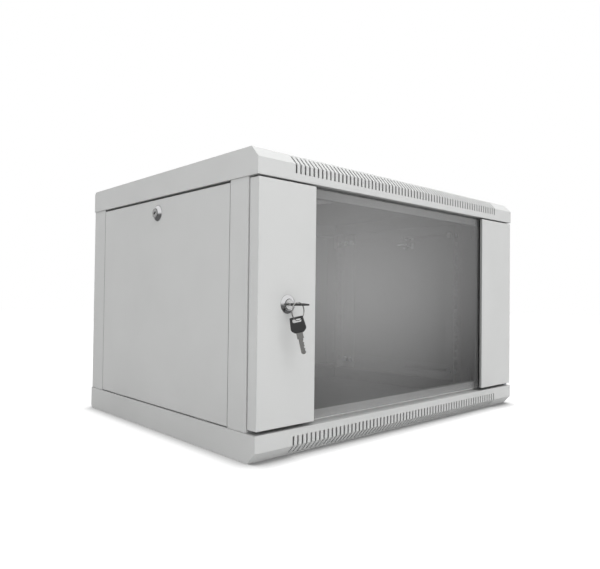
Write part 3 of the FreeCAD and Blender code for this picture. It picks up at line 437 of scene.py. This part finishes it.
plug_steel = plated("plug_steel", (0.34, 0.34, 0.34), 0.26, 900.0, 0.00003)
for part in ("door_lock_plug", "left_lock_plug", "right_lock_plug"):
    finish_node(part, plug_steel, PLUG_ROUNDING, 3)


# Zinc fittings: pressed lock cams and clips, screws, rail bolts and the two hinge pins, all
# of mild steel with a bright zinc plate.
zinc = plated("zinc", (0.60, 0.62, 0.65), 0.34, 700.0, 0.00003)
ZINC_PARTS = (
    "door_lock_clip", "door_lock_cam", "door_cam_screw", "left_lock_clip", "left_lock_cam",
    "right_lock_clip", "right_lock_cam", "cable_plate_screws", "lower_hinge_pin", "upper_hinge_pin",
    "front_left_rail_bolts", "front_right_rail_bolts", "rear_left_rail_bolts", "rear_right_rail_bolts",
)
for part in ZINC_PARTS:
    finish_node(part, zinc)


# Hinge bushes: black nylon, moulded, pressed into the ends of the hinge stile so that the
# door turns on them.
def moulded(name, grey, roughness):
    """Matt moulded plastic or rubber with a fine spark-eroded grain."""
    mould = bpy.data.materials.new(name)
    mould.use_nodes = True
    net = mould.node_tree
    skin = net.nodes["Principled BSDF"]
    skin.inputs["Base Color"].default_value = (grey, grey, grey, 1.0)
    skin.inputs["Roughness"].default_value = roughness
    place = net.nodes.new("ShaderNodeTexCoord")
    grain = net.nodes.new("ShaderNodeTexNoise")
    grain.inputs["Scale"].default_value = 2600.0
    net.links.new(place.outputs["Object"], grain.inputs["Vector"])
    bump = net.nodes.new("ShaderNodeBump")
    bump.inputs["Strength"].default_value = 0.3
    bump.inputs["Distance"].default_value = 0.00005
    net.links.new(grain.outputs["Fac"], bump.inputs["Height"])
    net.links.new(bump.outputs["Normal"], skin.inputs["Normal"])
    return mould


black_plastic = moulded("black_plastic", 0.022, 0.42)
finish_node("door_hinge_bushes", black_plastic)


# Glass tapes and bumpers: black rubber. The tapes bed the pane in its channels, and the
# bumpers behind the lock stile soften the door's closing.
black_rubber = moulded("black_rubber", 0.03, 0.8)
for part in ("door_glass_tapes", "door_bumpers"):
    finish_node(part, black_rubber)


# Lock bezels: domed rings, turned and chrome plated, on the door and on both side panels.
# Each has a square barrel behind it that goes through the sheet and holds the plug.
BEZEL_STEPS = 96
BARREL_HALF = 0.008
DOOR_BEZEL_HEIGHT = 0.003
PANEL_BEZEL_HEIGHT = 0.0045
chrome = plated("chrome", (0.66, 0.66, 0.67), 0.10, 900.0, 0.00001)


def turned_bezel(name, foot, out, height, depth, body, housing):
    """A domed ring, turned about the lock's axis, on the sheet at foot, with its barrel behind."""
    profile = [
        (0.01162, 0.0), (0.01162, 0.12 * height), (0.01140, 0.27 * height), (0.01030, 0.48 * height),
        (0.00920, 0.68 * height), (0.00810, 0.87 * height), (0.00740, 0.97 * height),
        (0.00705, height), (0.00686, 0.95 * height), (0.00683, 0.50 * height), (0.00683, 0.0),
    ]
    across = out.orthogonal().normalized()
    along = out.cross(across)
    ring = bmesh.new()
    rows = []
    for step in range(BEZEL_STEPS):
        turn = math.tau * step / BEZEL_STEPS
        spoke = across * math.cos(turn) + along * math.sin(turn)
        rows.append([ring.verts.new(foot + spoke * r + out * h) for r, h in profile])
    for step in range(BEZEL_STEPS):
        here, after = rows[step], rows[(step + 1) % BEZEL_STEPS]
        for k in range(len(profile) - 1):
            ring.faces.new((here[k], after[k], after[k + 1], here[k + 1])).smooth = True
    corners = [(across + along) * BARREL_HALF, (across - along) * BARREL_HALF,
               (-across - along) * BARREL_HALF, (along - across) * BARREL_HALF]
    front = [ring.verts.new(foot + corner) for corner in corners]
    back = [ring.verts.new(foot + corner - out * depth) for corner in corners]
    for k in range(4):
        ring.faces.new((front[k], front[(k + 1) % 4], back[(k + 1) % 4], back[k]))
    bmesh.ops.recalc_face_normals(ring, faces=ring.faces)
    mesh = bpy.data.meshes.new(name)
    ring.to_mesh(mesh)
    ring.free()
    mesh.materials.append(chrome)
    bezel = bpy.data.objects.new(name, mesh)
    bpy.context.scene.collection.objects.link(bezel)
    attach(bezel, body)
    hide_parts(housing)


for name, housing, out, height, body in (
    ("door_lock_bezel", "door_lock_housing", Vector((0, -1, 0)), DOOR_BEZEL_HEIGHT, "door"),
    ("left_lock_bezel", "left_lock_housing", Vector((-1, 0, 0)), PANEL_BEZEL_HEIGHT, "left_panel"),
    ("right_lock_bezel", "right_lock_housing", Vector((1, 0, 0)), PANEL_BEZEL_HEIGHT, "right_panel"),
):
    near, far = (Vector(corner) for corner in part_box(housing))
    middle = (near + far) / 2
    reach = max(out.dot(near), out.dot(far)) - height
    depth = abs(out.dot(far - near)) - height
    turned_bezel(name, middle + out * (reach - out.dot(middle)), out, height, depth, body, housing)


# Key blades: flat steel, milled to the lock and nickel plated, one on the key in the door
# and one on the spare key that hangs from the ring.
BLADE_ROUNDING = 0.00025
nickel = plated("nickel", (0.44, 0.435, 0.425), 0.24, 800.0, 0.00002)
for part in ("key_blade", "spare_key_blade"):
    finish_node(part, nickel, BLADE_ROUNDING)


# Key ring: two coils of round spring wire, nickel plated and pressed side by side. It hangs
# through the slot of the key in the door, turned a little, and carries the spare key.
WIRE_SIDES = 10
RING_TURN = math.radians(5.8)
RING_WIRE = 0.00037
RING_COILS = 2
RING_STEPS = 128
CROSS_STEPS = 7


def drawn_wire(name, path, radius, coil_axis, metal, body):
    """A round wire that follows the path round the coil's axis, with flat cut ends."""
    wire = bmesh.new()
    rows = []
    for k, point in enumerate(path):
        ahead = (path[min(k + 1, len(path) - 1)] - path[max(k - 1, 0)]).normalized()
        across = ahead.cross(coil_axis).normalized()
        along = ahead.cross(across)
        rows.append([
            wire.verts.new(point + radius * (across * math.cos(a) + along * math.sin(a)))
            for a in (math.tau * side / WIRE_SIDES for side in range(WIRE_SIDES))
        ])
    for here, after in zip(rows, rows[1:]):
        for side in range(WIRE_SIDES):
            beside = (side + 1) % WIRE_SIDES
            wire.faces.new((here[side], here[beside], after[beside], after[side])).smooth = True
    wire.faces.new(rows[0])
    wire.faces.new(rows[-1])
    bmesh.ops.recalc_face_normals(wire, faces=wire.faces)
    mesh = bpy.data.meshes.new(name)
    wire.to_mesh(mesh)
    wire.free()
    mesh.materials.append(metal)
    coil = bpy.data.objects.new(name, mesh)
    bpy.context.scene.collection.objects.link(coil)
    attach(coil, body)
    return coil


near, far = (Vector(corner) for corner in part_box("key_ring"))
ring_middle = (near + far) / 2
ring_reach = (far.z - near.z) / 2 - 2 * RING_WIRE
ring_level = Vector((math.cos(RING_TURN), math.sin(RING_TURN), 0))
ring_axis = Vector((-math.sin(RING_TURN), math.cos(RING_TURN), 0))
ring_path = []
for step in range(RING_STEPS + 1):
    turn = math.tau * RING_COILS * step / RING_STEPS
    shift = max(-1.0, min(1.0, (step - RING_STEPS / 2) / CROSS_STEPS))
    spoke = ring_level * math.sin(turn) - Vector((0, 0, 1)) * math.cos(turn)
    ring_path.append(ring_middle + spoke * ring_reach + ring_axis * shift * RING_WIRE)
split_ring = drawn_wire("split_ring", ring_path, RING_WIRE, ring_axis, nickel, "ring")
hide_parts("key_ring")


# Hinge spring: an open coil of round spring wire, zinc plated, round the door's upper hinge
# pin. It holds the pin up, and closes up when the pin is drawn down.
SPRING_WIRE = 0.0003
SPRING_COILS = 5
SPRING_STEPS = 160
near, far = (Vector(corner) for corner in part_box("hinge_spring"))
spring_middle = (near + far) / 2
spring_rise = far.z - near.z - 2 * SPRING_WIRE
spring_reach = (far.y - near.y) / 2 - SPRING_WIRE
spring_axis = Vector((0, 0, 1))
spring_path = []
for step in range(SPRING_STEPS + 1):
    turn = math.tau * SPRING_COILS * step / SPRING_STEPS
    spoke = Vector((math.cos(turn), math.sin(turn), 0))
    lift = spring_axis * spring_rise * (step / SPRING_STEPS - 0.5)
    spring_path.append(spring_middle + spoke * spring_reach + lift)
coil_spring = drawn_wire("coil_spring", spring_path, SPRING_WIRE, spring_axis, zinc, "door")
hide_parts("hinge_spring")
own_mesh(coil_spring)


# Key heads: black plastic moulded round the steel, thick at the shoulder and thin at the
# far end, with a long slot for the ring and well rounded edges.
HEAD_STEPS = 96
HEAD_LENGTH = 0.0188
HALF_THICKNESS = 0.0016
THIN_SHARE = 0.62
TAPER_LENGTH = 0.0130
SPARE_TURN = math.radians(47)
SPARE_LEAN = math.radians(13)
SPARE_SIDE = 0.0012
HEAD_OUTLINE = [
    (-0.0078, -HEAD_LENGTH), (0.0078, -HEAD_LENGTH), (0.0093, -0.004),
    (0.0053, 0.0), (-0.0053, 0.0), (-0.0093, -0.004),
]
SLOT_MIDDLE = Vector((0.0, -0.0143))
SLOT_HALF = Vector((0.0052, 0.0020))
SLOT_SHARES = [
    (-1, -0.45), (-0.86, -1), (0.86, -1), (1, -0.45), (1, 0.45), (0.86, 1), (-0.86, 1), (-1, 0.45),
]
HEAD_SECTION = [
    (0.0, 0.0, 0.0), (0.0, 0.0, 0.45), (0.00015, 0.0, 0.78), (0.00060, 0.0, 1.0), (0.00130, 0.0, 1.0),
    (None, 0.00070, 1.0), (None, 0.00035, 1.0), (None, 0.00008, 0.80), (None, 0.0, 0.45),
]


def edge_along(way, corners):
    """How far the straight-sided outline lies from the slot's middle along that way."""
    reach = []
    for a, b in zip(corners, corners[1:] + corners[:1]):
        start, side = Vector(a) - SLOT_MIDDLE, Vector(b) - Vector(a)
        turn = way.x * side.y - way.y * side.x
        if abs(turn) > 1e-12:
            far_out = (start.x * side.y - start.y * side.x) / turn
            on_side = (start.x * way.y - start.y * way.x) / turn
            if far_out > 0 and -1e-6 <= on_side <= 1 + 1e-6:
                reach.append(far_out)
    return min(reach)


def moulded_head(name, place, body, node):
    """One key head, moulded in a closed ring of sections round its slot."""
    ways = [Vector((math.cos(math.tau * k / HEAD_STEPS), math.sin(math.tau * k / HEAD_STEPS)))
            for k in range(HEAD_STEPS)]
    slot_corners = [
        (SLOT_MIDDLE.x + x * SLOT_HALF.x, SLOT_MIDDLE.y + y * SLOT_HALF.y)
        for x, y in SLOT_SHARES
    ]
    outer = [SLOT_MIDDLE + way * edge_along(way, HEAD_OUTLINE) for way in ways]
    inner = [SLOT_MIDDLE + way * edge_along(way, slot_corners) for way in ways]
    for smoothing in range(2):
        outer = [(outer[k - 1] + outer[k] * 2 + outer[(k + 1) % HEAD_STEPS]) / 4 for k in range(HEAD_STEPS)]
        inner = [(inner[k - 1] + inner[k] * 2 + inner[(k + 1) % HEAD_STEPS]) / 4 for k in range(HEAD_STEPS)]
    lower = [(a, b, -h) for a, b, h in reversed(HEAD_SECTION[1:])]
    section = HEAD_SECTION + [(None, 0.0, 0.0)] + lower
    head = bmesh.new()
    rows = []
    for k in range(HEAD_STEPS):
        inward = (inner[k] - outer[k]).normalized()
        row = []
        for from_edge, from_slot, share in section:
            if from_edge is None:
                flat = inner[k] - inward * from_slot
            else:
                flat = outer[k] + inward * from_edge
            taper = min(1.0, (flat.y + HEAD_LENGTH) / TAPER_LENGTH)
            half = HALF_THICKNESS * (THIN_SHARE + (1 - THIN_SHARE) * taper)
            row.append(head.verts.new((flat.x, flat.y, half * share)))
        rows.append(row)
    count = len(rows[0])
    for k in range(HEAD_STEPS):
        here, after = rows[k], rows[(k + 1) % HEAD_STEPS]
        for m in range(count):
            beside = (m + 1) % count
            head.faces.new((here[m], here[beside], after[beside], after[m])).smooth = True
    bmesh.ops.recalc_face_normals(head, faces=head.faces)
    mesh = bpy.data.meshes.new(name)
    head.to_mesh(mesh)
    head.free()
    mesh.transform(place)
    mesh.materials.append(black_plastic)
    bow = bpy.data.objects.new(name, mesh)
    bpy.context.scene.collection.objects.link(bow)
    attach(bow, body)
    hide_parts(node)


near, far = (Vector(corner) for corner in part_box("key_head"))
lock_axis = (near + far) / 2
moulded_head("key_bow", Matrix.Translation((lock_axis.x, far.y, lock_axis.z)), "key", "key_head")
blade_down = Matrix(((0, 0, 1), (-1, 0, 0), (0, -1, 0))).to_4x4()
hung = (
    Matrix.Translation(ring_middle - Vector((0, 0, ring_reach)))
    @ Matrix.Rotation(SPARE_TURN, 4, "Z")
    @ Matrix.Rotation(-SPARE_LEAN, 4, "X")
    @ blade_down
    @ Matrix.Translation((-SPARE_SIDE, -SLOT_MIDDLE.y, 0.0))
)
moulded_head("spare_key_bow", hung, "spare_key", "spare_key_head")
